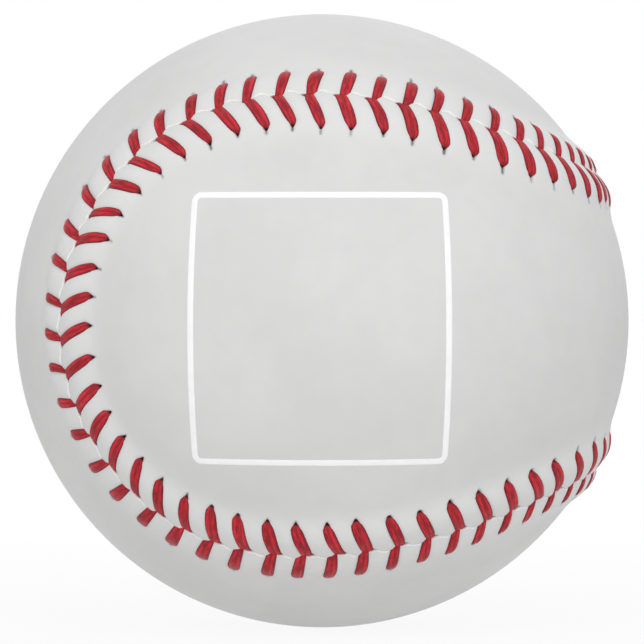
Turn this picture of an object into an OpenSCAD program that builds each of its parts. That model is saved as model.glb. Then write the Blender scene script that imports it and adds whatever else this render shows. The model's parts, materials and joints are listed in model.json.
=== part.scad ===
// Stitched softball: a wound core in two figure-eight leather covers, laced together with two threads.
// Origin at the centre of the ball, +Z up. The front cover's broad lobe faces -Y and its waist is at +X.
// Sizes are in millimetres and angles in degrees.

/* [Ball] */
// Diameter over the smooth part of the covers
ball_d = 97; // [93:0.5:101]
// Diameter of the cork and rubber core
core_d = 66; // [50:1:72]
// Diameter over the coarse inner winding
inner_winding_d = 82; // [76:1:86]
// Thickness of the latex coat over the windings
latex_t = 0.5; // [0.3:0.1:1]

/* [Seam] */
// Share of the long wave in the seam's curve: more makes the waists wider
seam_wave = 0.72; // [0.69:0.01:0.75]
// Share of the short wave in the seam's curve: it squares the lobes a little
seam_trim = -0.03; // [-0.05:0.01:0]

/* [Covers] */
// Thickness of the leather away from the seam
cover_t = 1.5; // [1.4:0.1:1.8]
// Height of the raised welt along the seam
welt_h = 1.2; // [1.1:0.05:1.4]
// Distance from the seam to the foot of the welt
welt_w = 8; // [7.5:0.5:9]
// Size of the flats that round the smooth part of a cover
cover_flat = 7; // [7:1:10]

/* [Lacing] */
// Stitches in each cover
stitches = 108; // [100:4:112]
// Distance from the seam to the middle of a needle hole
hole_from_seam = 5.8; // [5.6:0.1:6]
// Width of the flattened thread
thread_w = 1.3; // [1:0.1:1.4]
// Thickness of the flattened thread
thread_t = 0.7; // [0.5:0.05:0.7]
// How far a front leg leads its needle hole where it reaches the seam
front_lead = 2.65; // [2.6:0.05:2.7]
// How far a back leg leads its needle hole where it reaches the seam
back_lead = 1; // [1:0.05:1.1]

/* [Hidden] */
$fn = 96;
ball_r = ball_d / 2;
// Play between pieces that lie on each other
play = 0.05;

// Layers under the covers, from the outside in, with room for the cement and the covers' flats
cement_t = 0.6;
latex_r = ball_r - cover_t - cement_t;
outer_winding_r = latex_r - latex_t - play;
inner_winding_r = inner_winding_d / 2;
core_r = core_d / 2;

// Sides of the seam on which the two covers lie
FRONT = -1;
BACK = 1;

// Needle slits, and the lane across the welt that each leg of thread lies in
slit_near_part = 1.35;
slit_far_part = 1;
slit_near = hole_from_seam - slit_near_part;
slit_far = hole_from_seam + slit_far_part;
lane_room = 0.25;
lane_w = thread_w + 2 * lane_room;
// On the flesh side a slit is wider towards the thread that comes up to it
slit_flare = 1;
// The covers' edges stand back where threads pass between them and meet in a tip elsewhere
notch_from_seam = 0.75;
notch_start = -front_lead - thread_w / 2 - play;
notch_end = -back_lead + thread_w / 2 + play;
tip_from_seam = 0.1;

// Grain side of the welt, from the seam outwards: distance, then height over the ball's radius along
// the lanes, which the threads press down, and between them
grain_edge = [0.25, 0.55];
grain_rows = [
    [1.6, welt_h - 0.35, welt_h - 0.1],
    [3.1, welt_h - 0.1, welt_h],
    [slit_near, 0.35, 0.8],
    [slit_far, 0.05, 0.12]
];
// Flesh side in the same form: the leather is skived thin towards the seam
flesh_edge = [0.05, 0.05];
flesh_rows = [[slit_near, -0.45, -0.15], [slit_far, -0.8, -0.85]];

// The thread crosses the leather at one height, and the middles of its arcs lie at the two others
cross_height = -0.5;
crest_height = welt_h + thread_t / 2 + play;
return_height = -1.15;
// How far past the seam a leg dives
dive_past_seam = 0.35;
// Where it turns through the leather the thread bunches up, from above to below the crossing height
hole_turn_l = 1.4;
dive_turn_l = 1;
turn_w = thread_w + 0.2;
turn_up = 0.35;
turn_down = 0.9;

// The seam: a closed wavy curve on a ball of radius 1, at angle t along it
seam_mirror = 1 - seam_wave;
seam_swing = 2 * sqrt(seam_wave * seam_mirror);
seam_start = 45;
function unit(v) = v / norm(v);
function seam_flat(t) = [
    seam_wave * cos(t) + seam_mirror * cos(3 * t) + seam_trim * cos(5 * t),
    seam_wave * sin(t) - seam_mirror * sin(3 * t) + seam_trim * sin(5 * t)
];
function seam_dir(t) =
    let (f = seam_flat(t))
    unit([seam_swing * sin(2 * t), (f.y - f.x) / sqrt(2), (f.x + f.y) / sqrt(2)]);

// Length along the seam against its angle, for stitches at an even spacing
seam_steps = 720;
seam_step = 360 / seam_steps;
function seam_chord(t) = ball_r * norm(seam_dir(t + seam_step) - seam_dir(t));
seam_table = [
    for (i = 0, t = seam_start, s = 0; i <= seam_steps; s = s + seam_chord(t), t = t + seam_step, i = i + 1)
        [s, t]
];
seam_length = seam_table[seam_steps][0];
pitch = seam_length / stitches;
function seam_angle(s) = lookup(s - seam_length * floor(s / seam_length), seam_table);

// Point at length s along the seam, a distance away from it on one side, at a height over the ball's radius
function on_ball(s, away, height, side) =
    let (
        t = seam_angle(s),
        out = seam_dir(t),
        along = unit(seam_dir(t + seam_step) - seam_dir(t - seam_step)),
        turn = away / ball_r * 180 / PI
    )
    (ball_r + height) * (cos(turn) * out + side * sin(turn) * cross(out, along));

// Point on the great circle from direction a to direction b, at the share f of the way
function on_arc(a, b, f) =
    let (whole = acos(a * b))
    (sin((1 - f) * whole) * a + sin(f * whole) * b) / sin(whole);

// Rings of points round a cover, each stitch giving the columns [length, distance, height]
function ring(columns, side, nose) = [
    for (i = [0:stitches - 1])
        for (c = columns)
            on_ball((nose + i) * pitch + c[0], c[1], c[2], side)
];
function welt_columns(row, lead, flare = 0) =
    let (middle = -lead * max(0, 1 - row[0] / hole_from_seam))
    [[middle - lane_w / 2, row[0], row[1]],
     [middle + lane_w / 2 + flare, row[0], row[1]],
     [middle + (pitch + flare) / 2, row[0], row[2]]];
function edge_columns(heights) = [
    [notch_start, notch_from_seam, heights[0]],
    [notch_end, notch_from_seam, heights[0]],
    [(notch_start + notch_end + pitch) / 2, tip_from_seam, heights[1]]
];
COLUMNS = 3;
wide = COLUMNS * stitches;

// The smooth middle: a ring on every second stitch, and ribs across from one side of it to the other
field_past_welt = 6;
field_from_seam = welt_w + field_past_welt;
field = stitches / 2;
ribs = field / 2;
function field_ring(height, side, nose) = [
    for (k = [0:field - 1]) on_ball((nose + 1 + 2 * k) * pitch, field_from_seam, height, side)
];
function rib_cells(ends, r) =
    let (whole = acos(unit(ends[r]) * unit(ends[field - 1 - r])))
    r == 0 || r == ribs - 1 ? 1 : 2 * max(1, round(whole * PI / 180 * ball_r / cover_flat / 2));
function rib_inside(ends, height, r) =
    let (cells = rib_cells(ends, r))
    cells == 1 ? [] : [
        for (k = [1:cells - 1])
            (ball_r + height) * on_arc(unit(ends[r]), unit(ends[field - 1 - r]), k / cells)
    ];
function sum_to(list, last) = last < 0 ? 0 : list[last] + sum_to(list, last - 1);

// Triangles between two rows of point numbers, which may hold different counts
TIE = 1e-6;
function zip_rows(a, b) =
    let (na = len(a) - 1, nb = len(b) - 1)
    concat(
        [for (i = [0:na - 1]) [a[i], a[i + 1], b[floor((i + 0.5) * nb / na + 0.5 + TIE)]]],
        [for (j = [0:nb - 1]) [b[j + 1], b[j], a[ceil((j + 0.5) * na / nb - 0.5 - TIE)]]]
    );
// Point numbers once round a ring, back to the first
function loop(first, count, turn = 0) = [for (i = [0:count]) first + (i + turn) % count];
// Triangles between two rings of equal count, leaving the needle slits open
function slit_band(a, b) = [
    for (i = [0:wide - 1])
        if (i % COLUMNS != 0)
            for (face = zip_rows([a + i, a + (i + 1) % wide], [b + i, b + (i + 1) % wide])) face
];
function slit_outline(a, b, i) = [a + i, a + i + 1, b + i + 1, b + i, a + i];

// Triangles of the smooth middle, from the foot of the welt to the ribs
function field_faces(foot, ends, first) =
    let (
        edge = foot + stitches,
        inside = edge + field,
        counts = [for (r = [0:ribs - 1]) rib_cells(ends, r) - 1],
        rows = [
            for (r = [0:ribs - 1])
                concat([edge + r],
                       [for (k = [0:1:counts[r] - 1]) inside + sum_to(counts, r - 1) + k],
                       [edge + field - 1 - r])
        ]
    )
    concat(
        zip_rows(loop(first, wide), loop(foot, stitches)),
        zip_rows(loop(foot, stitches, 1), loop(edge, field)),
        [for (r = [0:ribs - 2]) for (face = zip_rows(rows[r + 1], rows[r])) face]
    );
function flipped(faces) = [for (f = faces) [f[0], f[2], f[1]]];

// One cover: grain side and flesh side as rings of points, joined at the seam's edge and in the slits
module cover(side, lead, nose) {
    grain_field = field_ring(0, side, nose);
    flesh_field = field_ring(-cover_t, side, nose);
    grain = concat(
        ring(edge_columns(grain_edge), side, nose),
        [for (row = grain_rows) each ring(welt_columns(row, lead), side, nose)],
        ring([[0, welt_w, 0]], side, nose),
        grain_field,
        [for (r = [0:ribs - 1]) each rib_inside(grain_field, 0, r)]
    );
    flesh = concat(
        ring(edge_columns(flesh_edge), side, nose),
        [for (row = flesh_rows) each ring(welt_columns(row, lead, slit_flare), side, nose)],
        ring([[0, welt_w, -cover_t]], side, nose),
        flesh_field,
        [for (r = [0:ribs - 1]) each rib_inside(flesh_field, -cover_t, r)]
    );
    grain_near = 3 * wide;
    grain_far = 4 * wide;
    flesh_first = len(grain);
    flesh_near = flesh_first + wide;
    flesh_far = flesh_near + wide;
    faces = concat(
        [for (row = [0:2]) each zip_rows(loop(row * wide, wide), loop((row + 1) * wide, wide))],
        slit_band(grain_near, grain_far),
        field_faces(grain_far + wide, grain_field, grain_far),
        flipped(concat(
            zip_rows(loop(flesh_first, wide), loop(flesh_near, wide)),
            slit_band(flesh_near, flesh_far),
            field_faces(flesh_far + wide, flesh_field, flesh_far)
        )),
        zip_rows(loop(flesh_first, wide), loop(0, wide)),
        [for (i = [0:COLUMNS:wide - 1])
            each zip_rows(slit_outline(grain_near, grain_far, i), slit_outline(flesh_near, flesh_far, i))]
    );
    polyhedron(concat(grain, flesh), side == FRONT ? faces : flipped(faces), convexity = 10);
}

// Arc of thread from a to b, which lie at one radius, with its middle at another height
module thread_arc(a, b, height) {
    middle = (a + b) / 2;
    bulge = ball_r + height - norm(middle);
    up = sign(bulge) * unit(middle);
    along = unit(b - a);
    across = cross(along, up);
    rise = abs(bulge);
    r = norm(b - a) ^ 2 / (8 * rise) + rise / 2;
    sweep = 2 * asin(norm(b - a) / 2 / r);
    hub = middle + (rise - r) * up;
    multmatrix([
        [along.x, up.x, across.x, hub.x],
        [along.y, up.y, across.y, hub.y],
        [along.z, up.z, across.z, hub.z]
    ])
        rotate_extrude(angle = sweep, start = 90 - sweep / 2)
            translate([r, 0])
                square([thread_t, thread_w], center = true);
}

// Bunched stretch of thread at p, along the ball's radius and in line with the leg that ends at q
module thread_turn(p, q, length) {
    up = unit(p);
    across = unit(cross(up, q - p));
    along = cross(across, up);
    multmatrix([
        [along.x, across.x, up.x, p.x],
        [along.y, across.y, up.y, p.y],
        [along.z, across.z, up.z, p.z]
    ])
        translate([0, 0, (turn_up - turn_down) / 2])
            cube([length, turn_w, turn_up + turn_down], center = true);
}

// One thread: over the welt of one cover to the seam, then under the other cover to its next hole
module thread(first) {
    for (i = [0:stitches - 1]) {
        side = (i + first) % 2 == 0 ? FRONT : BACK;
        lead = side == FRONT ? front_lead : back_lead;
        hole = on_ball(i * pitch, hole_from_seam, cross_height, side);
        dive = on_ball(i * pitch - lead, -dive_past_seam, cross_height, side);
        next = on_ball((i - 1) * pitch, hole_from_seam, cross_height, -side);
        thread_turn(hole, dive, hole_turn_l);
        thread_arc(hole, dive, crest_height);
        thread_turn(dive, hole, dive_turn_l);
        thread_arc(dive, next, return_height);
    }
}

module shell(outer, inner) {
    difference() {
        sphere(outer);
        sphere(inner);
    }
}

module core() { color("#a9825a") sphere(core_r); }
module inner_winding() { color("#8f949c") shell(inner_winding_r, core_r + play); }
module outer_winding() { color("#e9e4d6") shell(outer_winding_r, inner_winding_r + play); }
module latex_coat() { color("#d8cda4") shell(latex_r, latex_r - latex_t); }
module front_cover() { color("#dcdcdc") cover(FRONT, front_lead, stitches / 4); }
module back_cover() { color("#d4d4d4") cover(BACK, back_lead, 0); }
module first_thread() { color("#c4232f") thread(0); }
module second_thread() { color("#b81f2c") thread(1); }

core();
inner_winding();
outer_winding();
latex_coat();
front_cover();
back_cover();
first_thread();
second_thread();
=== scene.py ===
"""Looks of the stitched softball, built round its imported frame.

The two leather covers, the two lacing threads and a printed border are surfaces worked out with numpy
in the seam's own coordinates: length along the seam, distance away from it, height over the ball.
"""

import json

import bpy
import numpy as np
from bpy.props import FloatProperty, FloatVectorProperty, IntProperty, PointerProperty
from bpy.types import Operator, Panel, PropertyGroup
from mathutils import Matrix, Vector


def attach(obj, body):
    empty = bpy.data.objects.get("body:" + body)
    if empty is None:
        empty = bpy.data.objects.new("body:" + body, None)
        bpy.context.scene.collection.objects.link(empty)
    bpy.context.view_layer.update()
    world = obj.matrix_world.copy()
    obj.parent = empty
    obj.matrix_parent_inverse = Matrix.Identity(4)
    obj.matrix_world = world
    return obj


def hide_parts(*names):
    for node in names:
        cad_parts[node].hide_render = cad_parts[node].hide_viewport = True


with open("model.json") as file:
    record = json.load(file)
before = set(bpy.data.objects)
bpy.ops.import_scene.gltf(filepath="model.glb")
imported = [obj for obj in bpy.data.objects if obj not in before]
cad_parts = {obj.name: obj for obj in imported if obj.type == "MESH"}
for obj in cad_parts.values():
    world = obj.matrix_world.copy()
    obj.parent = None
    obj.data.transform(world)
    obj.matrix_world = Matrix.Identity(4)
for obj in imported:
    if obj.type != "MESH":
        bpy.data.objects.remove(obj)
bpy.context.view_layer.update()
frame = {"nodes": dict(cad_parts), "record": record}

bl_info = {
    "name": "Stitched softball",
    "version": (1, 0, 0),
    "blender": (4, 5, 0),
    "location": "View3D > Sidebar > Softball",
    "description": "Leather covers, lacing, print and layers of a stitched softball",
    "category": "Add Mesh",
}

BODY = "root"
MM = 0.001
# The ball rests on the point below its centre, so that point gives its radius
BALL_R = -frame["record"]["mounts"][0]["pos_m"][2] / MM
FRONT, BACK = -1.0, 1.0


class SeamSettings(PropertyGroup):
    """The seam's curve and the spacing of its stitches."""

    wave: FloatProperty(name="Long wave", description="Share of the long wave in the seam", default=0.72)
    trim: FloatProperty(name="Short wave", description="Share of the wave that squares the lobes",
                        default=-0.03)
    stitches: IntProperty(name="Stitches", description="Stitches in each cover", default=108, min=4)
    hole: FloatProperty(name="Needle holes", description="Usual distance from the seam to the needle holes",
                        default=5.65 * MM, unit="LENGTH")
    front_lead: FloatProperty(name="Front lead",
                              description="How far a front leg usually leads its hole at the seam",
                              default=2.0 * MM, unit="LENGTH")
    back_lead: FloatProperty(name="Back lead", description="How far a back leg leads its hole at the seam",
                             default=0.85 * MM, unit="LENGTH")
    back_shift: FloatProperty(name="Back shift", description="How far back holes lie behind the front ones",
                              default=0.1 * MM, unit="LENGTH")


class CoverSettings(PropertyGroup):
    """Shape and colours of the leather covers."""

    welt: FloatProperty(name="Welt height", description="Height of the raised welt along the seam",
                        default=1.13 * MM, unit="LENGTH")
    thickness: FloatProperty(name="Leather", description="Thickness of the leather away from the seam",
                             default=1.5 * MM, unit="LENGTH")
    grain: FloatVectorProperty(name="Grain side", description="Colour of the tanned grain side",
                               default=(0.715, 0.715, 0.712), subtype="COLOR")
    raw_edge: FloatVectorProperty(name="Raw edge", description="Colour of the cut edge at the seam",
                                  default=(0.96, 0.96, 0.95), subtype="COLOR")
    flesh: FloatVectorProperty(name="Flesh side", description="Colour of the rough inner side",
                               default=(0.5, 0.46, 0.38), subtype="COLOR")


class LaceSettings(PropertyGroup):
    """Colours of the waxed lacing thread."""

    light: FloatVectorProperty(name="Strand", description="Colour on top of a strand",
                               default=(0.71, 0.026, 0.042), subtype="COLOR")
    # The thread's red darkened: painted shade in the crease and along the edges, and the darker fibres
    deep: FloatVectorProperty(name="Between strands", description="Colour in creases and along edges",
                              default=(0.13, 0.004, 0.01), subtype="COLOR")


class BorderSettings(PropertyGroup):
    """Size and colour of the printed border."""

    width: FloatProperty(name="Width",
                         description="Between the middles of the border's sides, along the ball",
                         default=40.05 * MM, unit="LENGTH")
    height: FloatProperty(name="Height",
                          description="Between the middles of its top and bottom, along the ball",
                          default=41.6 * MM, unit="LENGTH")
    corner: FloatProperty(name="Corner", description="Radius of the line at the corners",
                          default=1.1 * MM, unit="LENGTH")
    line: FloatProperty(name="Line", description="Width of the printed line",
                        default=1.02 * MM, unit="LENGTH")
    ink: FloatVectorProperty(name="Ink", description="Colour of the ink", default=(0.97, 0.97, 0.97),
                             subtype="COLOR")


class StageSettings(PropertyGroup):
    """Camera, light and floor."""

    azimuth: FloatProperty(name="Azimuth", description="Camera's turn about the vertical",
                           default=np.radians(-8.08), subtype="ANGLE")
    elevation: FloatProperty(name="Elevation", description="Camera's angle over the horizon",
                             default=np.radians(0.98), subtype="ANGLE")
    distance: FloatProperty(name="Distance", description="From the camera to the ball's centre",
                            default=848.75 * MM, unit="LENGTH")
    lens: FloatProperty(name="Lens", description="Focal length on a 36 mm sensor", default=299.4)
    shift: FloatProperty(name="Shift", description="Vertical shift of the frame", default=-0.0019)
    sky: FloatProperty(name="Sky", description="Strength of the even light from all sides", default=0.69)
    key: FloatProperty(name="Key", description="Power of the soft lamp over the camera", default=5.15,
                       unit="POWER")
    glow: FloatProperty(name="Glow", description="Share of its own light in the floor, as on a light table",
                        default=0.215, subtype="FACTOR")
    back: FloatProperty(name="Back", description="Power of the soft lamp behind", default=1.2, unit="POWER")


class BallSettings(PropertyGroup):
    """All settings of the softball."""

    seam: PointerProperty(type=SeamSettings)
    cover: PointerProperty(type=CoverSettings)
    lace: PointerProperty(type=LaceSettings)
    border: PointerProperty(type=BorderSettings)
    stage: PointerProperty(type=StageSettings)


def unit(v):
    """Vectors brought to length one."""
    return v / np.linalg.norm(v, axis=-1, keepdims=True)


def smooth(x, low, high):
    """Smooth step: 0 below low, 1 above high, a cubic between."""
    f = np.clip((x - low) / (high - low), 0, 1)
    return f * f * (3 - 2 * f)


def bell(x, width):
    """Bell curve: e to the power of minus the square of x over width."""
    return np.exp(-((x / width) ** 2))


# Hand of the lacing, chosen along the run that the photo shows. Each list gives stitches of a
# half seam and what is added there in millimetres, or the width as a share
SHIFT, FURTHER, LEAD, WIDTH = "shift", "further", "lead", "width"
HAND = {
    (SHIFT, FRONT): ((3, -4.0), (7, -0.3), (12, -0.8), (19, -0.9), (24, -0.3), (31, -0.5), (36, 0.9),
                     (39, 0.0), (50, 0.0), (54, -2.0)),
    (SHIFT, BACK): ((3, -4.0), (7, -1.1), (10, -0.6), (20, -0.8), (24, -0.3), (28, -1.3), (35, -0.5),
                    (37, -1.2), (41, -0.4), (44, -0.8), (47, 0.0), (54, -2.0)),
    (FURTHER, FRONT): ((6, 0.0), (9, -0.3), (18, 0.0), (44, 0.0), (47, -0.5), (51, -0.7)),
    (FURTHER, BACK): ((5, -2.6), (8, -2.4), (11, -1.0), (17, 0.6), (22, 0.0), (24, -1.3), (27, -1.8),
                      (29, -0.4), (32, -0.3), (34, -0.8), (41, -0.2), (44, -0.4), (47, -1.0), (51, -3.0),
                      (54, -2.5)),
    (LEAD, FRONT): ((5, 0.5), (8, 0.6), (10, -0.3), (17, -0.5), (20, 0.0), (22, 1.0), (25, 0.2), (29, 0.8),
                    (36, 0.9), (39, 0.2), (44, 0.0), (48, -0.6), (51, -0.6), (54, 0.0)),
    (WIDTH, FRONT): ((4, 0.95), (8, 1.1), (12, 1.0), (18, 1.1), (24, 1.1), (30, 1.0), (40, 1.0), (47, 1.2),
                     (53, 0.95)),
    (WIDTH, BACK): ((6, 0.9), (14, 1.0), (18, 1.1), (22, 1.05), (25, 0.8), (28, 0.75), (31, 0.9), (36, 1.0),
                    (50, 0.9)),
}
# How much a stitch departs from that at most
UNEVEN = {SHIFT: 0.2, FURTHER: 0.25, LEAD: 0.3, WIDTH: 0.08}


class Seam:
    """The closed seam on the ball and places given from it, in millimetres.

    The curve is a cos t + b cos 3t + h cos 5t in one axis, a sin t - b sin 3t + h sin 5t in the next and
    c sin 2t in the third, with b = 1 - a and c = 2 sqrt(ab), turned by 45 degrees and put on the ball.
    """

    START = np.radians(45)
    STEPS = 20000
    LITTLE = 1e-4
    # Seed of the stitches' unevenness
    SEED = 7
    # Stitches are drawn apart at the front cover's noses: shares of a pitch, once and thrice per half seam
    DRIFT = (-0.6, -0.1)
    # The hand-laced seam wanders: stitches of a half seam and millimetres towards the back cover.
    # The wander fades out between two distances from the seam
    WANDER = ((14, 0), (18.5, 0.4), (20.5, 0), (22.5, -0.4), (26.5, 0.4), (29, 0), (31, -0.6), (34, -0.2),
              (38, 0))
    WANDER_FADE = (2, 9)
    # Power of a lane's curve, and how far it goes on past the seam as a share of the way from the hole
    BOW = {FRONT: 1.0, BACK: 1.4}
    LANE_REACH = 1.1

    def __init__(self, settings):
        self.wave, self.trim = settings.wave, settings.trim
        self.stitches = settings.stitches
        self.usual_hole = settings.hole / MM
        self.leads = {FRONT: settings.front_lead / MM, BACK: settings.back_lead / MM}
        self.shifts = {FRONT: 0.0, BACK: settings.back_shift / MM}
        self.angles = self.START + np.linspace(0, 2 * np.pi, self.STEPS + 1)
        steps = BALL_R * np.linalg.norm(np.diff(self.direction(self.angles), axis=0), axis=1)
        self.lengths = np.concatenate([[0], np.cumsum(steps)])
        self.length = self.lengths[-1]
        self.pitch = self.length / self.stitches
        rng = np.random.default_rng(self.SEED)
        self.uneven = {key: UNEVEN[key[0]] * rng.uniform(-1, 1, self.stitches) for key in HAND}

    def direction(self, t):
        """Direction of the seam from the ball's centre at the curve's angle t."""
        a, h = self.wave, self.trim
        b = 1 - a
        x = a * np.cos(t) + b * np.cos(3 * t) + h * np.cos(5 * t)
        y = a * np.sin(t) - b * np.sin(3 * t) + h * np.sin(5 * t)
        z = 2 * np.sqrt(a * b) * np.sin(2 * t)
        return unit(np.stack([z, (y - x) / np.sqrt(2), (x + y) / np.sqrt(2)], axis=-1))

    def trend(self, number, keys):
        """Straight runs between keys, alike in both halves of the seam."""
        places, values = np.transpose(keys)
        return np.interp(number, places, values, period=self.stitches / 2)

    def hand(self, number, what, side):
        """How the lacing departs from an even one: its trend and each stitch's own unevenness."""
        uneven = np.interp(number, np.arange(self.stitches), self.uneven[what, side], period=self.stitches)
        return self.trend(number, HAND[what, side]) + uneven

    def station(self, number, side):
        """Length along the seam of a stitch's hole: even spacing, two waves of drift, the hand's shift."""
        turn = 4 * np.pi * number / self.stitches
        once, thrice = self.DRIFT
        even = number + once * np.sin(turn) + thrice * np.sin(3 * turn)
        return self.pitch * even + self.hand(number, SHIFT, side) - self.shifts[side]

    def hole(self, number, side):
        """Distance of a stitch's hole from the seam."""
        return self.usual_hole + self.hand(number, FURTHER, side)

    def toward(self, s, away, side):
        """Direction a distance away from the seam at length s, on one side of it.

        The distance is taken square to the curve, from the seam's wandering line near it and from the
        curve itself past the needle holes.
        """
        t = np.interp(np.mod(s, self.length), self.lengths, self.angles)
        out = self.direction(t)
        along = unit(self.direction(t + self.LITTLE) - self.direction(t - self.LITTLE))
        wander = self.trend(s / self.pitch, self.WANDER)
        turn = ((side * away + wander * (1 - smooth(np.abs(away), *self.WANDER_FADE))) / BALL_R)[..., None]
        return np.cos(turn) * out + np.sin(turn) * np.cross(out, along)

    def place(self, s, away, height, side):
        """Point in that direction, at a height over the ball's radius."""
        return (BALL_R + height)[..., None] * self.toward(s, away, side)

    def lane(self, away, number, side):
        """Middle of a stitch's lane, from its hole: the lead grows with a power of the way from the hole."""
        lead = self.leads[side] + (self.hand(number, LEAD, FRONT) if side == FRONT else 0)
        way = np.clip(1 - away / self.hole(number, side), 0, self.LANE_REACH)
        return -lead * way ** self.BOW[side]


# Grain side of the welt at full height 1, against the distance from the seam in millimetres
WELT_AWAY = np.array([-1.2, 0.0, 0.6, 1.5, 2.6, 3.4, 4.5, 5.3, 5.9, 6.6, 7.6, 12.0])
WELT_RISE = np.array([0.58, 0.68, 0.78, 0.92, 1.0, 0.97, 0.72, 0.46, 0.3, 0.14, 0.0, 0.0])
# Lanes that the threads press into the welt: depth and half width in millimetres
LANE_DEPTH = 0.5
LANE_WIDTH = 1.0
# Shares of the lane's depth that the leather bulges between lanes, and that a thread lies in
LANE_BULGE = 0.3
LANE_FLOOR = 0.7
# Shares of a hole's distance between which a lane runs out
LANE_END = (0.86, 1.2)


def welt(away, height):
    """Rise of the welt: straight runs between the profile's points, rounded by averaging over 1 mm."""
    spread = np.linspace(-0.5, 0.5, 7)
    return height * np.mean([np.interp(away + x, WELT_AWAY, WELT_RISE) for x in spread], axis=0)


def lane_fade(away, hole):
    """Share of the lane's pressing: full on the welt, none past the needle holes."""
    return 1 - smooth(away / hole, *LANE_END)


# Scallops of the seam: between the stitches the front cover's edge bulges under the back one's. Where an arch
# stands, half its width, its rise, its lean and the height of its feet, then the gap and the slot's depth
SCALLOP_AT = -0.28
SCALLOP_HALF = 1.5
SCALLOP_RISE = 0.7
SCALLOP_SKEW = 0.3
SCALLOP_FOOT = -0.15
CRACK = 0.02
SLOT = 0.3
# Shares of the arch's half width between which a slot opens
SLOT_OPENS = (0.9, 1.15)


def edge_line(seam, s, side):
    """Distance of a cover's edge from the seam: a leaning arch between stitches, a slot where threads dive.

    The arch is a parabola times a straight slope, so that it is highest before its middle. It stands
    about half-way between the places where two front legs reach the seam.
    """
    numbers = np.arange(-seam.stitches, 3 * seam.stitches)
    dives = seam.station(numbers, FRONT) + seam.lane(np.zeros(1), numbers, FRONT)
    from_arch = np.interp(s - SCALLOP_AT, dives, numbers) - 0.5
    x = seam.pitch / SCALLOP_HALF * (from_arch - np.round(from_arch))
    arch = SCALLOP_FOOT + SCALLOP_RISE * np.clip(1 - x ** 2, 0, 1) * (1 - SCALLOP_SKEW * x)
    return side * arch + CRACK + SLOT * smooth(np.abs(x), *SLOT_OPENS)


# Distances of the rows of points from a cover's edge, on the grain side and on the flesh side
GRAIN_ROWS = np.array([
    0, 0.05, 0.13, 0.26, 0.45, 0.7, 1.0, 1.35, 1.75, 2.15, 2.6, 3.05, 3.5, 3.95, 4.35, 4.7, 5.0, 5.3, 5.55,
    5.8, 6.05, 6.3, 6.55, 6.8, 7.05, 7.3, 7.6, 7.95, 8.4, 9.0, 9.8, 10.8, 12.0])
FLESH_ROWS = np.array([0, 0.8, 2.2, 4.0, 5.2, 6.2, 7.4, 9.5, 12.0])
# Flesh side: distances from the seam and heights over the ball, before it reaches the leather's thickness
FLESH_AWAY = [-1, 0, 3, 6, 9]
FLESH_HEIGHT = [-0.3, -0.25, -0.5, -0.95]
# Columns of a stitch, and how strongly they crowd together along it
COLUMNS = 14
CROWD = 0.6
# Rows between the seam's band and the spine, and half the spine's angle
GRAIN_FIELD = 14
FLESH_FIELD = 6
SPINE_REACH = np.radians(105)
# The edge's scallops fade out over this distance; its rolled lip is lower by some and reaches so far
SCALLOP_REACH = 4
EDGE_ROLL = {FRONT: 0.12, BACK: 0.05}
ROLL_REACH = 0.26
EDGE_BAND = {FRONT: 0.03, BACK: 0.06}
# Needle holes: how far a pit lies behind its hole, its reach along and away from the seam, and the strength
# of the painted shade in it
PIT_BEHIND = 0.3
PIT_ALONG = 0.3
PIT_AWAY = 0.34
PIT_DARK = 1.6
PIT_CLEAR = 0.15
# Slits that the needle leaves behind the holes: width, depth, where they start behind the hole, where they
# stop about their end, and how far that end lies behind the hole
SLIT_WIDTH = 0.21
SLIT_DEPTH = 0.2
SLIT_START = (0.2, 0.5)
SLIT_STOP = (0.4, 0.25)
TAIL_END = {FRONT: (1.3, 2.1), BACK: (1.2, 1.95)}
TAIL_LESS = 0.75
# Ranges of the stitches' own shares of a lane's depth, a pit's depth and a slit's depth
PUCKER = (0.75, 1.25)
PIT = (0.75, 1.15)
TAIL = (0.6, 1.5)
# The leather is paler from the seam out to these distances
PALE_FADE = (4.0, 11.0)


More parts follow.
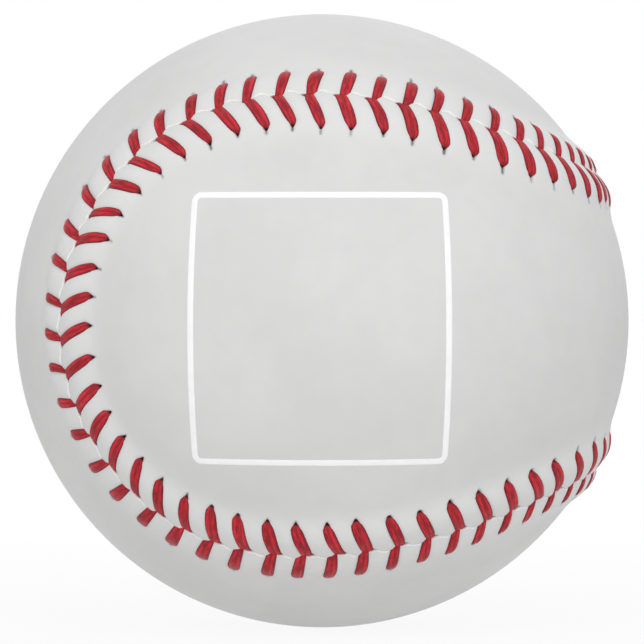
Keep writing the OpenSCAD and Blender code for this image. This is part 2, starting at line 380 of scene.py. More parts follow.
def cover_grid(seam, settings, side, nose, rng):
    """One cover as rows of points round it, from the flesh side's spine over the edge to the grain side's.

    A column starts at the cover's edge and follows the distance from the seam, sheared so that it runs
    along a stitch's lane; past 12 mm it goes on along a great circle to the spine, an arc in the cover's
    mirror plane whose angle is the sine of the way along the seam. Height is the welt's rise, less the
    roll of the edge, the lanes that the threads press, the needle holes and the slits behind them.
    """
    count = COLUMNS * seam.stitches
    column = np.arange(count)
    phase = column / COLUMNS
    # Columns stand closer together along the stitches
    number = nose + phase - CROWD * np.sin(2 * np.pi * phase) / (2 * np.pi)
    nearest = np.round(number)
    s_column = seam.station(number, side)
    off = s_column - seam.station(nearest, side)
    hole = seam.hole(nearest, side)
    stitch = nearest.astype(int) % seam.stitches
    tall = settings.welt / MM
    thick = settings.thickness / MM

    pucker = rng.uniform(*PUCKER, seam.stitches)[stitch]
    pit = rng.uniform(*PIT, seam.stitches)[stitch]
    tail = rng.uniform(*TAIL, seam.stitches)[stitch]
    # Tails are longest on the seam's upper run, where the lacing was pulled hardest
    lower = (1 + np.sin(4 * np.pi * nearest / seam.stitches)) / 2
    tail_end = hole + rng.uniform(*TAIL_END[side], seam.stitches)[stitch] - TAIL_LESS * lower

    edge = edge_line(seam, s_column + seam.lane(np.zeros(1), number, side), side)

    def lay(rows):
        from_edge = rows[:, None]
        away = from_edge + edge * np.clip(1 - from_edge / SCALLOP_REACH, 0, 1) ** 2
        return from_edge, away, s_column + seam.lane(away, number, side)

    from_edge, away, s = lay(GRAIN_ROWS)
    pressed = LANE_DEPTH * pucker * (bell(off, LANE_WIDTH) - LANE_BULGE) * lane_fade(away, hole)
    deep = pit * bell(off, PIT_ALONG) * bell(away - hole - PIT_BEHIND, PIT_AWAY)
    slit = tail * bell(off, SLIT_WIDTH) * smooth(away, hole + SLIT_START[0], hole + SLIT_START[1])
    slit = slit * (1 - smooth(away, tail_end - SLIT_STOP[0], tail_end + SLIT_STOP[1]))
    roll = EDGE_ROLL[side] * np.exp(-from_edge / ROLL_REACH)
    grain_height = welt(away, tall) - pressed - roll - deep - SLIT_DEPTH * slit
    grain = seam.place(s, away, grain_height, side)
    grain_marks = {
        "edge": np.exp(-from_edge / EDGE_BAND[side]) + 0 * away,
        "pale": 1 - smooth(away, *PALE_FADE),
        # Painted shade in the needle holes: how dark each pit is coloured
        "hole": np.clip(PIT_DARK * deep - PIT_CLEAR, 0, 1),
        # Painted shade along the slits behind the holes, where they are dug in
        "slit": np.clip(slit, 0, 1),
        "flesh": 0 * away,
    }

    from_edge, away, s = lay(FLESH_ROWS)
    flesh_height = np.interp(away, FLESH_AWAY, [*FLESH_HEIGHT, -thick])
    flesh = seam.place(s, away, flesh_height, side)

    noses = seam.pitch * (nose + seam.stitches / 2 * np.arange(2))
    ends = seam.direction(np.interp(noses, seam.lengths, seam.angles))
    waist = -unit(ends.sum(axis=0))
    sideways = unit(ends[0] - (ends[0] @ waist) * waist)
    angle = SPINE_REACH * np.sin(np.pi / 2 * (1 - 4 * np.minimum(column, count - column) / count))
    spine = np.cos(angle)[:, None] * waist + np.sin(angle)[:, None] * sideways

    def field(ring, steps, height):
        start = unit(ring)
        whole = np.arccos(np.sum(start * spine, axis=1))
        share = (np.arange(1, steps + 1) / steps)[:, None]
        a = np.sin((1 - share) * whole) / np.sin(whole)
        b = np.sin(share * whole) / np.sin(whole)
        return (BALL_R + height) * (a[..., None] * start + b[..., None] * spine)

    grain_field = field(grain[-1], GRAIN_FIELD, 0)
    flesh_field = field(flesh[-1], FLESH_FIELD, -thick)
    points = np.concatenate([flesh_field[::-1], flesh[::-1], grain, grain_field])

    # Only the mark of the flesh side is set on the rows under the leather, and none is on the grain's field
    under = np.zeros((FLESH_FIELD + len(FLESH_ROWS), count))
    over = np.zeros((GRAIN_FIELD, count))
    marks = {name: np.concatenate([under + (name == "flesh"), rows, over])
             for name, rows in grain_marks.items()}
    # The wall between the flesh side's edge and the grain side's is raw leather too
    marks["edge"][len(under) - 1] = 1.0
    marks["flesh"][len(under) - 1] = 0.0
    return points, marks


def folded_grid(points):
    """Point numbers and quads of a grid whose columns wrap round and whose end rows fold shut on themselves.

    A folded row gives a column and its mirror image, counted from the first column, one shared point.
    """
    rows, columns = points.shape[:2]
    numbers = np.arange(rows * columns).reshape(rows, columns)
    column = np.arange(columns)
    shared = np.minimum(column, -column % columns)
    numbers[[0, -1]] = numbers[[0, -1]][:, shared]
    right = np.roll(numbers, -1, axis=1)
    quads = np.stack([numbers[:-1], right[:-1], right[1:], numbers[1:]], axis=-1).reshape(-1, 4)
    used, quads = np.unique(quads, return_inverse=True)
    return used, quads.reshape(-1, 4)


def outward(points, quads):
    """The quads, turned so that they enclose a positive volume."""
    a, b, c, d = (points[quads[:, k]] for k in range(4))
    volume = np.sum(a * (np.cross(b, c) + np.cross(c, d)))
    return quads if volume > 0 else quads[:, ::-1]


def new_piece(name, points, quads, material, marks=None, loops=None):
    """A mesh piece from points in millimetres, with its marks as point attributes and loops as its UV map."""
    mesh = bpy.data.meshes.new(name)
    mesh.from_pydata((points * MM).tolist(), [], quads.tolist())
    if mesh.validate():
        raise RuntimeError(f"{name}: the mesh has bad faces")
    for mark, values in (marks or {}).items():
        layer = mesh.attributes.new(mark, "FLOAT", "POINT")
        layer.data.foreach_set("value", np.ascontiguousarray(values, dtype=np.float32))
    if loops is not None:
        layer = mesh.uv_layers.new(name="lay")
        layer.uv.foreach_set("vector", np.ascontiguousarray(loops, dtype=np.float32).ravel())
    mesh.polygons.foreach_set("use_smooth", np.ones(len(mesh.polygons), dtype=bool))
    mesh.materials.append(material)
    mesh.update()
    piece = bpy.data.objects.new(name, mesh)
    bpy.context.scene.collection.objects.link(piece)
    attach(piece, BODY)
    return piece


# Legs of thread from the needle hole to the seam and on to the next hole under the other cover. Columns:
# distance from the seam on the leg's own side, half width, half thickness, and height over the lane's leather
FRONT_LEG = np.array([
    [6.05, 0.22, 0.14, -0.70],
    [5.95, 0.38, 0.20, -0.36],
    [5.75, 0.61, 0.28, -0.05],
    [5.4, 0.82, 0.35, 0.11],
    [4.8, 0.94, 0.40, 0.18],
    [4.0, 0.99, 0.42, 0.20],
    [3.2, 1.00, 0.42, 0.20],
    [2.4, 0.98, 0.41, 0.19],
    [1.6, 0.95, 0.39, 0.18],
    [1.0, 0.94, 0.36, 0.17],
    [0.5, 0.94, 0.31, 0.15],
    [0.15, 0.92, 0.27, 0.06],
    [0.0, 0.84, 0.22, -0.28],
])
BACK_LEG = np.array([
    [6.0, 0.62, 0.18, -0.70],
    [5.92, 0.76, 0.24, -0.34],
    [5.75, 0.86, 0.30, -0.04],
    [5.2, 0.93, 0.36, 0.10],
    [4.5, 0.95, 0.39, 0.17],
    [3.7, 0.95, 0.40, 0.19],
    [2.9, 0.94, 0.39, 0.19],
    [2.1, 0.91, 0.38, 0.18],
    [1.4, 0.86, 0.36, 0.17],
    [0.9, 0.82, 0.33, 0.16],
    [0.4, 0.78, 0.29, 0.13],
    [0.05, 0.72, 0.26, 0.06],
    [-0.15, 0.58, 0.22, -0.28],
])
# Way under the other cover: distance on that cover's side, share of the way to its hole, height over the ball
UNDER = np.array([[0.3, 0.0, -0.75], [2.4, 0.35, -1.2], [4.8, 0.8, -1.4]])
UNDER_HALF_WIDTH = 0.5
UNDER_HALF_THICK = 0.22
# Section of a thread: its points, the power that squares its sides, the crease between the strands, and the
# underside's share of the thickness
SECTION_POINTS = 24
SECTION_POWER = 0.85
CREASE_DEPTH = 0.3
CREASE_WIDTH = 0.24
UNDERSIDE = 0.7
# Ranges of each leg's own share of the width, spread of its end at the seam and share of the thickness, and
# how much it sways
LEG_WIDTH = (0.94, 1.05)
LEG_EAR = (-0.45, 0.15)
LEG_PUFF = (0.92, 1.1)
LEG_SWAY = 0.11
# Distances from the seam over which the stretch to a leg's own hole sets in, the spread of its end runs out
# and its tip is painted with shade where it dives into the hole
STRETCH_IN = (0.3, 1.5)
EAR_OUT = (0.2, 1.6)
TIP_IN = (5.65, 5.95)
# Marks across the section for painted shade: reach of the shaded rim, width of the shaded crease, and where
# the top begins
RIM = (0.6, 0.97)
CREASE_MARK = 0.2
TOP_FROM = -0.1


def thread_rings(seam, tall, first, rng):
    """One thread as rings along its whole route: a flat two-strand section carried along the legs' keys.

    The section spans the seam's direction and the square to the route. Its top is a half ellipse with a
    crease between the strands, a bell curve deep in the middle, and its underside is a flatter half.
    """
    stitch = np.arange(seam.stitches)
    is_front = (stitch + first) % 2 == 0
    sides = np.where(is_front, FRONT, BACK)
    legs = np.where(is_front[:, None, None], FRONT_LEG, BACK_LEG)
    ring_count = len(FRONT_LEG) + len(UNDER)

    # Each stitch is pulled a little differently
    on_front = is_front[:, None]
    width = np.where(is_front, seam.hand(stitch, WIDTH, FRONT), seam.hand(stitch, WIDTH, BACK))
    wide = (rng.uniform(*LEG_WIDTH, seam.stitches) * width)[:, None]
    sway = rng.normal(0, LEG_SWAY, seam.stitches)[:, None]
    ear = rng.uniform(*LEG_EAR, seam.stitches)[:, None]
    puff = rng.uniform(*LEG_PUFF, seam.stitches)[:, None]
    own_hole = np.where(is_front, seam.hole(stitch, FRONT), seam.hole(stitch, BACK))
    own_station = np.where(is_front, seam.station(stitch, FRONT), seam.station(stitch, BACK))
    other_hole = np.where(is_front, seam.hole(stitch - 1, BACK), seam.hole(stitch - 1, FRONT))
    other_station = np.where(is_front, seam.station(stitch - 1, BACK), seam.station(stitch - 1, FRONT))

    # Legs are stretched to their own holes, apart from their ends at the seam
    key, half, thick, lift = np.moveaxis(legs, 2, 0)
    away = key * (1 + (own_hole / seam.usual_hole - 1)[:, None] * smooth(key, *STRETCH_IN))

    def lane(a):
        return np.where(on_front, seam.lane(a, stitch[:, None], FRONT), seam.lane(a, stitch[:, None], BACK))

    bend = np.sin(np.pi * np.clip(away / own_hole[:, None], 0, 1))
    ahead = np.where(on_front, 0.5 * ear * (1 - smooth(away, *EAR_OUT)), 0)
    half = half * wide + ahead
    s = own_station[:, None] + lane(away) + sway * bend - ahead
    leather = welt(away, tall) - LANE_DEPTH * LANE_FLOOR * lane_fade(away, own_hole[:, None])
    height = leather + lift * puff
    thick = thick * puff

    dive = own_station[:, None] + lane(np.zeros((1, 1)))
    under_s = dive + UNDER[:, 1] * (other_station[:, None] - dive)
    fill = np.ones((seam.stitches, len(UNDER)))
    away = np.concatenate([away, -UNDER[:, 0] * other_hole[:, None] / seam.usual_hole], axis=1)
    s = np.concatenate([s, under_s], axis=1)
    height = np.concatenate([height, UNDER[:, 2] * fill], axis=1)
    half = np.concatenate([half, UNDER_HALF_WIDTH * fill], axis=1)
    thick = np.concatenate([thick, UNDER_HALF_THICK * fill], axis=1)
    tip = np.concatenate([smooth(key, *TIP_IN), fill], axis=1)

    # The route runs towards smaller lengths, stitch after stitch, and crosses the seam after each leg
    order = stitch[::-1]
    signed = (away * sides[:, None])[order].ravel()
    s, height, half, thick, tip = (rings[order].ravel() for rings in (s, height, half, thick, tip))
    heading = np.repeat(-sides[order], ring_count)

    def step(rings):
        return np.roll(rings, -1) - np.roll(rings, 1)

    run, rise = step(signed) * heading, step(height)
    size = np.hypot(run, rise)
    lean_away, lean_up = -rise / size * heading, run / size

    turn = np.arange(SECTION_POINTS) / SECTION_POINTS * 2 * np.pi
    x = np.sign(np.cos(turn)) * np.abs(np.cos(turn)) ** SECTION_POWER
    crease = 1 - CREASE_DEPTH * bell(x, CREASE_WIDTH)
    y = np.where(np.sin(turn) > 0, np.sin(turn) * crease, UNDERSIDE * np.sin(turn))

    ring_s = s[:, None] + x * half[:, None]
    ring_away = signed[:, None] + y * (lean_away * thick)[:, None]
    ring_height = height[:, None] + y * (lean_up * thick)[:, None]
    points = seam.place(ring_s, ring_away, ring_height, BACK)
    top = np.sin(turn) > TOP_FROM
    tone = np.repeat(rng.uniform(0, 1, seam.stitches), ring_count)
    # Marks for painted shade: the tip where the thread dives into its hole, the rim along its edges and
    # underside, the crease between the strands; tone is each stitch's own tint
    marks = {
        "tip": np.repeat(tip[:, None], SECTION_POINTS, axis=1),
        "rim_shade": np.broadcast_to(np.where(top, smooth(np.abs(x), *RIM), 1), points.shape[:2]),
        "crease": np.broadcast_to(np.where(top, bell(x, CREASE_MARK), 0), points.shape[:2]),
        "tone": np.repeat(tone[:, None], SECTION_POINTS, axis=1),
    }
    return points, marks


def torus_grid(points):
    """Quads of a grid that wraps both ways, and the UV place of each of their corners."""
    rows, columns = points.shape[:2]
    numbers = np.arange(rows * columns).reshape(rows, columns)
    right = np.roll(numbers, -1, axis=1)
    up = np.roll(numbers, -1, axis=0)
    quads = np.stack([numbers, right, np.roll(up, -1, axis=1), up], axis=-1).reshape(-1, 4)
    v, u = np.mgrid[0:rows, 0:columns].astype(float)
    corners = ((0, 0), (1, 0), (1, 1), (0, 1))
    loops = np.stack([np.stack([(u + a) / columns, v + b], -1) for a, b in corners], axis=2)
    return quads, loops.reshape(-1, 4, 2)


# Printed border: hollow of its top and bottom, points of a corner, longest step along a side in millimetres
HOLLOW = 0.025
CORNER_POINTS = 9
LONGEST_STEP = 0.7
# Ink film: a flat top that thins to nothing at both edges, as shares of the line and heights in millimetres
INK_SECTION = np.array([[-0.5, -0.05], [-0.47, 0.012], [-0.4, 0.025],
                        [0.4, 0.025], [0.47, 0.012], [0.5, -0.05]])


def border_rings(settings, right, up, out):
    """The printed border as a thin film: a rounded box unrolled on the ball, swept by a flat section.

    A point x, y of the box lies the distance sqrt(x2 + y2) along the great circle that leaves the
    middle in that direction. The top and bottom are a little hollow, by the square of x.
    """
    corner, line = settings.corner / MM, settings.line / MM
    reach = np.array([settings.width, settings.height]) / MM / 2 - corner
    quarter = np.linspace(0, np.pi / 2, CORNER_POINTS)
    bend = corner * np.stack([np.cos(quarter), np.sin(quarter)], -1)
    turn = np.array([[0.0, 1.0], [-1.0, 0.0]])
    corners = np.concatenate([
        bend @ np.linalg.matrix_power(turn, k) + reach * signs
        for k, signs in enumerate(([1, 1], [-1, 1], [-1, -1], [1, -1]))])
    # Long sides are cut into short steps, which follow the ball
    following = np.roll(corners, -1, axis=0)
    gaps = np.linalg.norm(following - corners, axis=1)
    steps = np.maximum(1, np.ceil(gaps / LONGEST_STEP)).astype(int)
    share = np.concatenate([np.arange(n) / n for n in steps])[:, None]
    path = np.repeat(corners, steps, axis=0) * (1 - share) + np.repeat(following, steps, axis=0) * share
    ahead = unit(np.roll(path, -1, axis=0) - np.roll(path, 1, axis=0))
    across = np.stack([ahead[:, 1], -ahead[:, 0]], -1)
    plan = path[:, None] + line * INK_SECTION[:, :1] * across[:, None]
    plan[..., 1] *= 1 + HOLLOW * (plan[..., 0] / reach[0]) ** 2
    radius = np.linalg.norm(plan, axis=-1, keepdims=True)
    heading = (plan[..., :1] * right + plan[..., 1:] * up) / radius
    turned = np.cos(radius / BALL_R) * out + np.sin(radius / BALL_R) * heading
    return (BALL_R + INK_SECTION[:, 1:]) * turned


class Value:
    """A shader socket that takes part in Python expressions, each of which adds a Math node."""

    def __init__(self, shade, socket):
        self.shade, self.socket = shade, socket

    def __add__(self, other):
        return self.shade.math("ADD", self, other)

    def __radd__(self, other):
        return self.shade.math("ADD", other, self)

    def __sub__(self, other):
        return self.shade.math("SUBTRACT", self, other)

    def __rsub__(self, other):
        return self.shade.math("SUBTRACT", other, self)

    def __mul__(self, other):
        return self.shade.math("MULTIPLY", self, other)

    def __rmul__(self, other):
        return self.shade.math("MULTIPLY", other, self)


class Shade:
    """Nodes of one material, or of the world."""

    def __init__(self, owner):
        owner.use_nodes = True
        self.tree = owner.node_tree
        self.tree.nodes.clear()

    def node(self, kind, settings=(), out=0, **sockets):
        """Adds a node: settings first, then its sockets' values or links by name. Returns one output."""
        node = self.tree.nodes.new(kind)
        for name, value in dict(settings).items():
            setattr(node, name, value)
        for name, value in sockets.items():
            key = int(name[1:]) if name[0] == "_" else name.replace("_", " ")
            self.feed(node.inputs[key], value)
        return Value(self, node.outputs[out]) if node.outputs else node

    def feed(self, socket, value):
        if isinstance(value, Value):
            self.tree.links.new(value.socket, socket)
        else:
            socket.default_value = value

    def math(self, operation, a, b):
        return self.node("ShaderNodeMath", {"operation": operation}, _0=a, _1=b)

    def mix(self, share, a, b):
        """Colour between a and b."""
        first, second = (v if isinstance(v, Value) else (*v, 1.0) for v in (a, b))
        return self.node("ShaderNodeMix", {"data_type": "RGBA"}, out=2, _0=share, _6=first, _7=second)

    def ramp(self, value, low, high):
        """Smooth step of a value between low and high."""
        return self.node("ShaderNodeMapRange", {"interpolation_type": "SMOOTHSTEP"}, Value=value,
                         From_Min=low, From_Max=high)

    def place(self):
        return self.node("ShaderNodeTexCoord", out="Object")

    def noise(self, vector, scale, detail=2.0, roughness=0.5):
        return self.node("ShaderNodeTexNoise", Vector=vector, Scale=scale, Detail=detail, Roughness=roughness)

    def pores(self, vector):
        """The leather's pores: round cells about 0.4 mm wide."""
        return self.node("ShaderNodeTexVoronoi", {"feature": "SMOOTH_F1"}, Vector=vector, Scale=2600)

    def mark(self, name):
        return self.node("ShaderNodeAttribute", {"attribute_name": name}, out="Fac")

    def bump(self, height, strength, distance):
        return self.node("ShaderNodeBump", Height=height, Strength=strength, Distance=distance)

    def surface(self, **sockets):
        shader = self.node("ShaderNodeBsdfPrincipled", **sockets)
        self.node("ShaderNodeOutputMaterial", Surface=shader)


def scaled(colour, share):
    """A colour made darker or lighter."""
    return tuple(share * c for c in colour)


def new_material(name):
    material = bpy.data.materials.new(name)
    return material, Shade(material)


def leather(settings):
    """Tanned cover leather: pale grain with fine pores, whiter at the seam, raw edges, painted shade in the
    needle holes and the slits behind them.
    """
    material, shade = new_material("cover_leather")
    place = shade.place()
    cloud = shade.noise(place, 45, 3)
    blotch = shade.noise(place, 300, 3)
    pores = shade.pores(place)
    fine = shade.noise(place, 5200, 2)
    edge, pale, hole, slit, flesh = (shade.mark(m) for m in ("edge", "pale", "hole", "slit", "flesh"))

    grain = tuple(settings.grain)
    colour = shade.mix(shade.ramp(cloud * 0.7 + blotch * 0.3, 0.3, 0.7), scaled(grain, 0.93), grain)
    colour = shade.mix(pale * 0.6, colour, scaled(grain, 1.05))
    colour = shade.mix(shade.ramp(edge, 0.25, 0.7), colour, tuple(settings.raw_edge))
    # Painted shade in the slits behind the needle holes: dark grey along the grooves
    colour = shade.mix(slit * 0.85, colour, (0.08, 0.08, 0.085))
    # Painted shade in the needle holes: near black in the pits
    colour = shade.mix(hole, colour, (0.012, 0.01, 0.01))
    fibres = shade.mix(fine, tuple(settings.flesh), scaled(settings.flesh, 0.7))
    colour = shade.mix(flesh, colour, fibres)
    rough = 0.5 + 0.1 * blotch + 0.3 * flesh
    normal = shade.bump(pores * 0.6 + fine * 0.4, 0.12, 0.00006)
    shade.surface(Base_Color=colour, Roughness=rough, Normal=normal, Specular_IOR_Level=0.2)
    return material


def lace(settings):
    """Waxed two-strand thread: fibres along the strands; painted shade in the crease, along the edges and
    where it dives into the holes.
    """
    material, shade = new_material("lace_thread")
    lay = shade.node("ShaderNodeUVMap", {"uv_map": "lay"})
    stretched = shade.node("ShaderNodeMapping", Vector=lay, Scale=(34.0, 0.6, 1.0))
    fibres = shade.noise(stretched, 1.0, 3, 0.6)
    broad = shade.node("ShaderNodeMapping", Vector=lay, Scale=(9.0, 0.25, 1.0))
    strands = shade.noise(broad, 1.0, 2)
    tip, rim_shade, crease, tone = (shade.mark(m) for m in ("tip", "rim_shade", "crease", "tone"))
    light, deep = tuple(settings.light), tuple(settings.deep)
    warm = tuple(c * k for c, k in zip(light, (0.86, 0.75, 0.72)))
    colour = shade.mix(tone, light, warm)
    colour = shade.mix(shade.ramp(fibres * 0.5 + strands * 0.5, 0.6, 0.4) * 0.76, colour, deep)
    # Painted shade in the crease between the two strands
    colour = shade.mix(crease * shade.ramp(strands, 0.35, 0.6) * 0.75, colour, deep)
    # Painted shade along the thread's edges and under it
    colour = shade.mix(rim_shade * 0.92, colour, deep)
    # Painted shade at the tip, where the thread dives into its hole, and on its way under the other cover
    colour = shade.mix(tip * 0.85, colour, (0.045, 0.004, 0.006))
    normal = shade.bump(fibres, 0.5, 0.0001)
    shade.surface(Base_Color=colour, Roughness=0.42 + 0.2 * fibres, Normal=normal, Specular_IOR_Level=0.25)
    return material


def print_ink(settings):
    """Printed ink on leather: nearly even, a little thinner in places, with the leather's pores in it."""
    material, shade = new_material("border_ink")
    place = shade.place()
    cover = shade.noise(place, 500, 3)
    ink = tuple(settings.ink)
    colour = shade.mix(shade.ramp(cover, 0.35, 0.6), scaled(ink, 0.97), ink)
    normal = shade.bump(shade.pores(place), 0.1, 0.00005)
    shade.surface(Base_Color=colour, Roughness=0.45 + 0.1 * cover, Normal=normal, Specular_IOR_Level=0.3)
    return material


def cork(colour):
    """Moulded cork and rubber: granules of several browns in a dark binder."""
    material, shade = new_material("core_cork")
    place = shade.place()
    cells = {"Vector": place, "Scale": 420, "Randomness": 1.0}
    grains = shade.node("ShaderNodeTexVoronoi", **cells)
    tint = shade.node("ShaderNodeTexVoronoi", out="Color", **cells)
    lightness = shade.node("ShaderNodeSeparateColor", Color=tint)
    gap = shade.ramp(grains, 0.3, 0.55)
    tone = shade.mix(lightness, scaled(colour, 0.55), scaled(colour, 1.35))
    tone = shade.mix(gap, tone, (0.03, 0.02, 0.015))
    shade.surface(Base_Color=tone, Roughness=0.75 + 0.15 * gap, Normal=shade.bump(1 - grains, 0.5, 0.0004))
    return material


def yarn(name, colour, strands, contrast):
    """Wound yarn: bands of strands laid in three crossing directions, one on top in each patch, with painted
    shade between the strands.
    """
    material, shade = new_material(name)
    place = shade.place()
    fuzz = shade.noise(place, 900, 3)
    turns = ((0.3, 0.1, 0.0), (1.2, 0.5, 0.4), (0.5, 1.3, 1.1))
    bands = []
    for turn in turns:
        turned = shade.node("ShaderNodeMapping", Vector=place, Rotation=turn)
        bands.append(shade.node("ShaderNodeTexWave", out="Fac", Vector=turned, Scale=strands, Distortion=1.2,
                                Detail=1.0))
    patch = shade.noise(place, 60, 1)
    first = shade.ramp(patch, 0.44, 0.46)
    second = shade.ramp(patch, 0.56, 0.58)
    height = bands[0] * (1 - first) + bands[1] * (first - second) + bands[2] * second
    # Painted shade between the strands: darker where the bands lie low, with some random fuzz
    tone = shade.mix(height * 0.8 + fuzz * 0.2, scaled(colour, contrast), colour)
    shade.surface(Base_Color=tone, Roughness=0.85 + 0.1 * fuzz, Normal=shade.bump(height, 0.6, 0.0004))
    return material


def latex(colour):
    """Dried latex cement: brush streaks and pooled, slightly darker patches with a satin skin."""
    material, shade = new_material("latex_cement")
    place = shade.place()
    pools = shade.noise(place, 90, 3)
    streaks = shade.noise(shade.node("ShaderNodeMapping", Vector=place, Scale=(1.0, 1.0, 7.0)), 120, 3)
    thin = shade.ramp(pools * 0.6 + streaks * 0.4, 0.35, 0.65)
    tone = shade.mix(thin, scaled(colour, 0.7), colour)
    shade.surface(Base_Color=tone, Roughness=0.35 + 0.25 * streaks, Normal=shade.bump(streaks, 0.3, 0.0002))
    return material


def settings_of(context):
    return context.scene.stitched_ball


class MakeCovers(Operator):
    """Builds both leather covers from the seam"""

    bl_idname = "stitched_ball.covers"
    bl_label = "Leather covers"

    def execute(self, context):
        ball = settings_of(context)
        seam = Seam(ball.seam)
        material = leather(ball.cover)
        quarter = seam.stitches // 4
        covers = (
            ("front_leather", "front_cover", FRONT, quarter, 11),
            ("back_leather", "back_cover", BACK, 0, 12),
        )
        for name, node, side, nose, seed in covers:
            points, marks = cover_grid(seam, ball.cover, side, nose, np.random.default_rng(seed))
            used, quads = folded_grid(points)
            flat = points.reshape(-1, 3)[used]
            marks = {k: v.reshape(-1)[used] for k, v in marks.items()}
            piece = new_piece(name, flat, outward(flat, quads), material, marks)
            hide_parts(node)
        return {"FINISHED"}


class MakeLacing(Operator):
    """Builds the two lacing threads along their whole route"""

    bl_idname = "stitched_ball.lacing"
    bl_label = "Lacing"

    SEED = 21

    def execute(self, context):
        ball = settings_of(context)
        seam = Seam(ball.seam)
        material = lace(ball.lace)
        for name, node, first in (("first_lace", "first_thread", 0), ("second_lace", "second_thread", 1)):
            rng = np.random.default_rng(self.SEED + first)
            points, marks = thread_rings(seam, ball.cover.welt / MM, first, rng)
            quads, loops = torus_grid(points)
            flat = points.reshape(-1, 3)
            turned = outward(flat, quads)
            if turned is not quads:
                loops = loops[:, ::-1]
            marks = {k: v.reshape(-1) for k, v in marks.items()}
            piece = new_piece(name, flat, turned, material, marks, loops)
            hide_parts(node)
        return {"FINISHED"}


def camera_axes(stage):
    """Right, up and back directions of the camera at the stage's azimuth and elevation."""
    a, e = stage.azimuth, stage.elevation
    back = np.array([np.sin(a) * np.cos(e), -np.cos(a) * np.cos(e), np.sin(e)])
    right = np.array([np.cos(a), np.sin(a), 0.0])
    return right, np.cross(back, right), back


class MakeBorder(Operator):
    """Prints the border on the front cover's broad lobe"""

    bl_idname = "stitched_ball.border"
    bl_label = "Printed border"

    # Middle of the border, in millimetres from the middle of the photo's view
    OFF_RIGHT = -0.38
    OFF_UP = -1.36

    def execute(self, context):
        ball = settings_of(context)
        right, up, back = camera_axes(ball.stage)
        out = unit(back + (self.OFF_RIGHT * right + self.OFF_UP * up) / BALL_R)
        right = unit(right - (right @ out) * out)
        points = border_rings(ball.border, right, np.cross(out, right), out)
        quads, _ = torus_grid(points)
        flat = points.reshape(-1, 3)
        new_piece("printed_border", flat, outward(flat, quads), print_ink(ball.border))
        return {"FINISHED"}


class DressLayers(Operator):
    """Gives the core, the windings and the latex coat their finishes"""

    bl_idname = "stitched_ball.layers"
    bl_label = "Inner layers"

    def execute(self, context):
        colours = {m["slot"]: tuple(m["base_color"]) for m in frame["record"]["materials"]}
        finishes = {
            "core": cork(colours["core"]),
            "inner_winding": yarn("wool_yarn", colours["inner_yarn"], 130, 0.4),
            "outer_winding": yarn("cotton_yarn", colours["outer_yarn"], 260, 0.55),
            "latex_coat": latex(colours["latex"]),
        }
        for node, material in finishes.items():
            mesh = frame["nodes"][node].data
            mesh.materials.clear()
            mesh.materials.append(material)
        return {"FINISHED"}


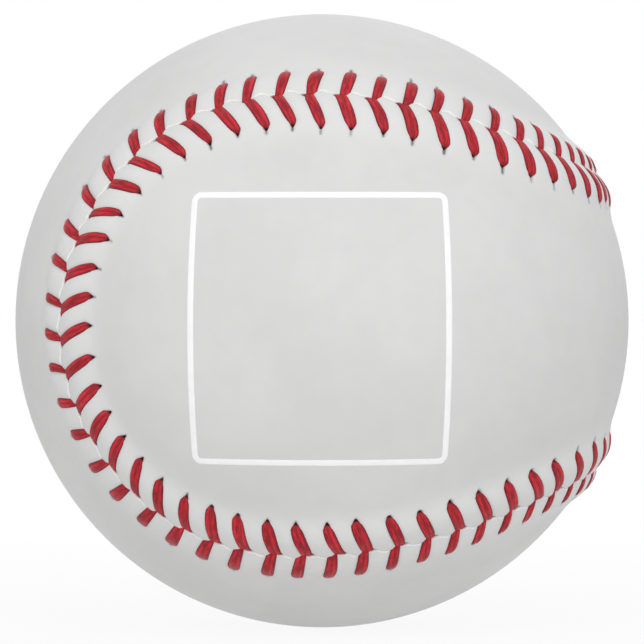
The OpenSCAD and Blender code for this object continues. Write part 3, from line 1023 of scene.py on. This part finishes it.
class SetStage(Operator):
    """Sets the floor, the light and the camera"""

    bl_idname = "stitched_ball.stage"
    bl_label = "Stage"

    # Floor: radius and gap under the ball in millimetres, rings, points of a ring, and the least ring's share
    FLOOR_R = 3000
    FLOOR_GAP = 0.02
    FLOOR_RINGS = 24
    FLOOR_POINTS = 96
    FLOOR_INNER = 0.05
    # Floor's own light under the ball, what it loses away from it, and the distances in metres between
    GLOW_NEAR = 2.2
    GLOW_LOSS = 2.1
    GLOW_FADE = (0.02, 0.13)
    # Share of white that the camera sees in the floor near the ball, what it gains, and the distances between
    WHITE_NEAR = 0.9
    WHITE_GAIN = 0.095
    WHITE_FADE = (0.05, 0.3)
    SENSOR = 36.0

    def execute(self, context):
        stage = settings_of(context).stage
        scene = context.scene
        scene.view_settings.view_transform = "Standard"
        self.sky(scene, stage)
        self.floor(scene, stage)
        self.lamps(scene, stage)
        self.camera(scene, stage)
        return {"FINISHED"}

    @staticmethod
    def seen(shade):
        """1 for rays from the camera and for mirrored or refracted ones."""
        paths = [shade.node("ShaderNodeLightPath", out=f"Is {kind} Ray") for kind in
                 ("Camera", "Glossy", "Transmission")]
        return shade.math("MINIMUM", paths[0] + paths[1] + paths[2], 1.0)

    def sky(self, scene, stage):
        scene.world = bpy.data.worlds.new("studio")
        shade = Shade(scene.world)
        strength = stage.sky + self.seen(shade) * (1 - stage.sky)
        light = shade.node("ShaderNodeBackground", Color=(1, 1, 1, 1), Strength=strength)
        shade.node("ShaderNodeOutputWorld", Surface=light)

    def floor(self, scene, stage):
        """A round floor: rings of points, their radius growing with the square of the ring's number."""
        shape = (self.FLOOR_RINGS, self.FLOOR_POINTS)
        turn = np.linspace(0, 2 * np.pi, self.FLOOR_POINTS + 1)[:-1]
        radius = self.FLOOR_R * np.linspace(self.FLOOR_INNER, 1, self.FLOOR_RINGS)[:, None] ** 2
        level = np.full(shape, -BALL_R - self.FLOOR_GAP)
        points = np.stack([radius * np.cos(turn), radius * np.sin(turn), level], -1)
        numbers = np.arange(level.size).reshape(shape)
        right = np.roll(numbers, -1, axis=1)
        quads = np.stack([numbers[:-1], numbers[1:], right[1:], right[:-1]], -1).reshape(-1, 4)
        faces = quads.tolist() + [numbers[0].tolist()]
        mesh = bpy.data.meshes.new("floor")
        mesh.from_pydata((points.reshape(-1, 3) * MM).tolist(), [], faces)
        material, shade = new_material("pale_floor")
        tone = shade.mix(shade.noise(shade.place(), 4, 2), (0.8, 0.8, 0.8), (0.84, 0.84, 0.84))
        matte = shade.node("ShaderNodeBsdfDiffuse", Color=tone)
        white = shade.node("ShaderNodeEmission", Color=(1, 1, 1, 1), Strength=1.0)
        apart = shade.node("ShaderNodeVectorMath", {"operation": "LENGTH"}, out="Value", Vector=shade.place())
        seen = self.seen(shade)
        shine = stage.glow * (self.GLOW_NEAR - self.GLOW_LOSS * shade.ramp(apart, *self.GLOW_FADE))
        shown = self.WHITE_NEAR + self.WHITE_GAIN * shade.ramp(apart, *self.WHITE_FADE)
        share = seen * shown + (1 - seen) * shine
        surface = shade.node("ShaderNodeMixShader", _0=share, _1=matte, _2=white)
        shade.node("ShaderNodeOutputMaterial", Surface=surface)
        mesh.materials.append(material)
        floor = bpy.data.objects.new("floor", mesh)
        scene.collection.objects.link(floor)

    def lamps(self, scene, stage):
        lamps = (
            ("key", (-0.1, -0.95, 0.62), 1.1, stage.key),
            ("back", (0.4, 0.9, 0.8), 1.0, stage.back),
        )
        for name, place, size, power in lamps:
            light = bpy.data.lights.new(name, "AREA")
            light.shape = "DISK"
            light.size = size
            light.energy = power
            lamp = bpy.data.objects.new(name, light)
            lamp.location = place
            lamp.rotation_euler = Vector(place).to_track_quat("Z", "Y").to_euler()
            scene.collection.objects.link(lamp)

    def camera(self, scene, stage):
        data = bpy.data.cameras.new("camera")
        data.sensor_width = self.SENSOR
        data.lens = stage.lens
        data.shift_y = stage.shift
        camera = bpy.data.objects.new("camera", data)
        back = Vector(camera_axes(stage)[2])
        camera.location = back * stage.distance
        camera.rotation_euler = back.to_track_quat("Z", "Y").to_euler()
        scene.collection.objects.link(camera)
        scene.camera = camera


STEPS = (DressLayers, MakeCovers, MakeLacing, MakeBorder, SetStage)


class BallPanel(Panel):
    """Lists the softball's settings and the steps that build it"""

    bl_idname = "VIEW3D_PT_stitched_ball"
    bl_label = "Stitched softball"
    bl_space_type = "VIEW_3D"
    bl_region_type = "UI"
    bl_category = "Softball"

    def draw(self, context):
        ball = settings_of(context)
        for group in ("seam", "cover", "lace", "border", "stage"):
            box = self.layout.box()
            box.label(text=group.capitalize())
            settings = getattr(ball, group)
            for name in settings.__annotations__:
                box.prop(settings, name)
        for step in STEPS:
            self.layout.operator(step.bl_idname)


CLASSES = (SeamSettings, CoverSettings, LaceSettings, BorderSettings, StageSettings, BallSettings,
           *STEPS, BallPanel)


def register():
    for cls in CLASSES:
        bpy.utils.register_class(cls)
    bpy.types.Scene.stitched_ball = PointerProperty(type=BallSettings)


def unregister():
    del bpy.types.Scene.stitched_ball
    for cls in reversed(CLASSES):
        bpy.utils.unregister_class(cls)


def main():
    register()
    for step in STEPS:
        group, name = step.bl_idname.split(".")
        getattr(getattr(bpy.ops, group), name)()


if __name__ == "__main__":
    main()
